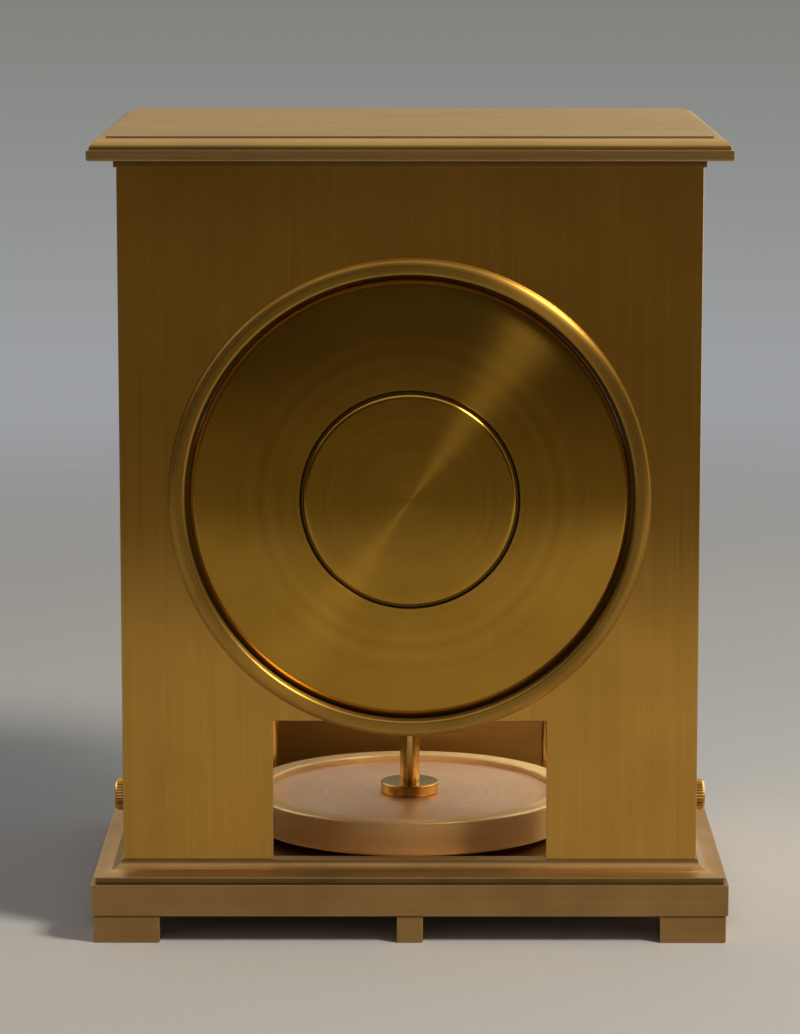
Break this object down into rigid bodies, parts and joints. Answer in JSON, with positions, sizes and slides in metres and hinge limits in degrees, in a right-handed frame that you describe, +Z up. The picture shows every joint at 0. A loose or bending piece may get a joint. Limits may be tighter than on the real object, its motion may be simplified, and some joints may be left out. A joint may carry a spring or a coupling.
{
  "type": "atmospheric clock",
  "caption": "Brass mantel clock with a glazed front door, a round bellows drum set in its back panel and a slow torsion balance that hangs over the base.",
  "frame": {"origin": "middle of the clock's footprint, on the surface that the feet stand on", "axes": "+Z up, -Y out of the dial, +Y out of the back panel, +X to the right of someone who faces the dial"},
  "size_m": [0.186, 0.152, 0.235],
  "materials": {
    "case_brass": "satin lacquered",
    "brushed_brass": "brushed upright and lacquered",
    "spun_brass": "spun, with fine circular lines",
    "turned_brass": "turned and polished",
    "movement_brass": "gilt satin",
    "balance_copper": "turned, with fine circular lines",
    "steel": "polished",
    "spring_steel": "blued",
    "dark_hands": "satin black",
    "dial_enamel": "satin ivory",
    "jewel_red": "polished synthetic ruby",
    "pane_glass": "clear"
  },
  "bodies": {
    "case": {"base_plinth": "case_brass", "feet": "case_brass", "base_plate": "case_brass", "left_side_frame": "case_brass", "right_side_frame": "case_brass", "side_glasses": "pane_glass", "front_rails": "case_brass", "back_panel": "brushed_brass", "drum_ring": "turned_brass", "lid": "case_brass", "chapter_ring": "dial_enamel", "hour_markers": "turned_brass", "front_plate": "movement_brass", "rear_plate": "movement_brass", "support_columns": "movement_brass", "turned_pillars": "movement_brass", "plate_screws": "steel", "bushes": "jewel_red", "return_spring": "spring_steel", "chain": "steel", "roller_bracket": "movement_brass", "escapement_bridge": "movement_brass", "suspension_block": "movement_brass", "suspension_wire": "spring_steel", "bellows_drum": "turned_brass", "bellows_cover": "spun_brass", "bellows_capsule": "spun_brass", "bellows_spring": "spring_steel"},
    "left_levelling_foot": {"left_levelling_foot": "turned_brass"},
    "right_levelling_foot": {"right_levelling_foot": "turned_brass"},
    "left_thumbscrew": {"left_thumbscrew": "turned_brass"},
    "right_thumbscrew": {"right_thumbscrew": "turned_brass"},
    "door": {"door_frame": "case_brass", "door_glass": "pane_glass", "door_knob": "turned_brass"},
    "minute_work": {"centre_arbor": "steel", "centre_wheel": "movement_brass", "cannon_pinion": "steel", "minute_hand": "dark_hands", "hand_nut": "turned_brass"},
    "hour_work": {"hour_wheel": "movement_brass", "hour_hand": "dark_hands"},
    "minute_wheel": {"minute_wheel": "movement_brass"},
    "barrel": {"mainspring_barrel": "movement_brass", "barrel_cover": "movement_brass", "mainspring": "spring_steel"},
    "winding_work": {"barrel_arbor": "steel", "winding_pulley": "movement_brass", "click": "steel"},
    "escape_work": {"escape_arbor": "steel", "escape_wheel": "movement_brass"},
    "pallet_fork": {"pallet_fork": "steel"},
    "balance": {"balance_tube": "movement_brass", "balance_plate": "balance_copper", "balance_rim": "turned_brass", "balance_hub": "turned_brass"},
    "push_plate": {"push_plate": "steel"},
    "chain_roller": {"chain_roller": "movement_brass"},
    "lock_lever": {"lock_lever": "steel"},
    "lifter": {"lifter": "movement_brass"}
  },
  "joints": [
    {"name": "left_foot_screw", "type": "slide", "parent": "case", "child": "left_levelling_foot", "axis": [0, 0, -1], "range_m": [0, 0.0025]},
    {"name": "right_foot_screw", "type": "slide", "parent": "case", "child": "right_levelling_foot", "axis": [0, 0, -1], "range_m": [0, 0.0025]},
    {"name": "left_thumbscrew_turn", "type": "hinge", "parent": "case", "child": "left_thumbscrew", "pos_m": [-0.084, 0.034, 0.035], "axis": [-1, 0, 0], "range_deg": [0, 720]},
    {"name": "right_thumbscrew_turn", "type": "hinge", "parent": "case", "child": "right_thumbscrew", "pos_m": [0.084, 0.034, 0.035], "axis": [1, 0, 0], "range_deg": [0, 720]},
    {"name": "door_swing", "type": "hinge", "parent": "case", "child": "door", "pos_m": [-0.082, -0.065, 0.1245], "axis": [0, 0, -1], "range_deg": [0, 110]},
    {"name": "minute_turn", "type": "hinge", "parent": "case", "child": "minute_work", "pos_m": [0, -0.05, 0.13], "axis": [0, 1, 0], "continuous": true},
    {"name": "hour_turn", "type": "hinge", "parent": "case", "child": "hour_work", "pos_m": [0, -0.055, 0.13], "axis": [0, 1, 0], "continuous": true},
    {"name": "minute_wheel_turn", "type": "hinge", "parent": "case", "child": "minute_wheel", "pos_m": [0.012, -0.052, 0.13], "axis": [0, 1, 0], "continuous": true},
    {"name": "barrel_turn", "type": "hinge", "parent": "case", "child": "barrel", "pos_m": [0.007, -0.04, 0.15608], "axis": [0, 1, 0], "continuous": true},
    {"name": "escape_turn", "type": "hinge", "parent": "case", "child": "escape_work", "pos_m": [0, -0.03, 0.11], "axis": [0, 1, 0], "continuous": true},
    {"name": "fork_rock", "type": "hinge", "parent": "case", "child": "pallet_fork", "pos_m": [0, -0.018, 0.0965], "axis": [0, 1, 0], "range_deg": [-2.5, 2.5]},
    {"name": "balance_swing", "type": "hinge", "parent": "case", "child": "balance", "pos_m": [0, 0, 0.06], "axis": [0, 0, 1], "range_deg": [-270, 270], "stiffness_Nm_per_rad": 0.0000055, "deforming": ["suspension_wire"]},
    {"name": "bellows_breathe", "type": "slide", "parent": "case", "child": "push_plate", "axis": [0, 1, 0], "range_m": [-0.002, 0.002], "deforming": ["bellows_capsule", "bellows_spring", "chain", "return_spring"]},
    {"name": "chain_roller_turn", "type": "hinge", "parent": "case", "child": "chain_roller", "pos_m": [0, -0.014, 0.134], "axis": [1, 0, 0], "range_deg": [-29, 29]},
    {"name": "winding_turn", "type": "hinge", "parent": "case", "child": "winding_work", "pos_m": [0.007, -0.018, 0.15608], "axis": [0, 1, 0], "range_deg": [-17, 17]},
    {"name": "lock_lever_turn", "type": "hinge", "parent": "case", "child": "lock_lever", "pos_m": [0, -0.054, 0.0175], "axis": [0, 0, 1], "range_deg": [0, 20]},
    {"name": "lifter_rise", "type": "slide", "parent": "case", "child": "lifter", "axis": [0, 0, 1], "range_m": [0, 0.002]}
  ],
  "couplings": [
    {"joint": "hour_turn", "follows": "minute_turn", "ratio": 0.083333},
    {"joint": "minute_wheel_turn", "follows": "minute_turn", "ratio": -0.33333},
    {"joint": "barrel_turn", "follows": "minute_turn", "ratio": -0.125},
    {"joint": "escape_turn", "follows": "minute_turn", "ratio": -4},
    {"joint": "chain_roller_turn", "follows": "bellows_breathe", "rad_per_m": 250},
    {"joint": "winding_turn", "follows": "bellows_breathe", "rad_per_m": -142.86},
    {"joint": "lifter_rise", "follows": "lock_lever_turn", "m_per_rad": 0.0057}
  ]
}
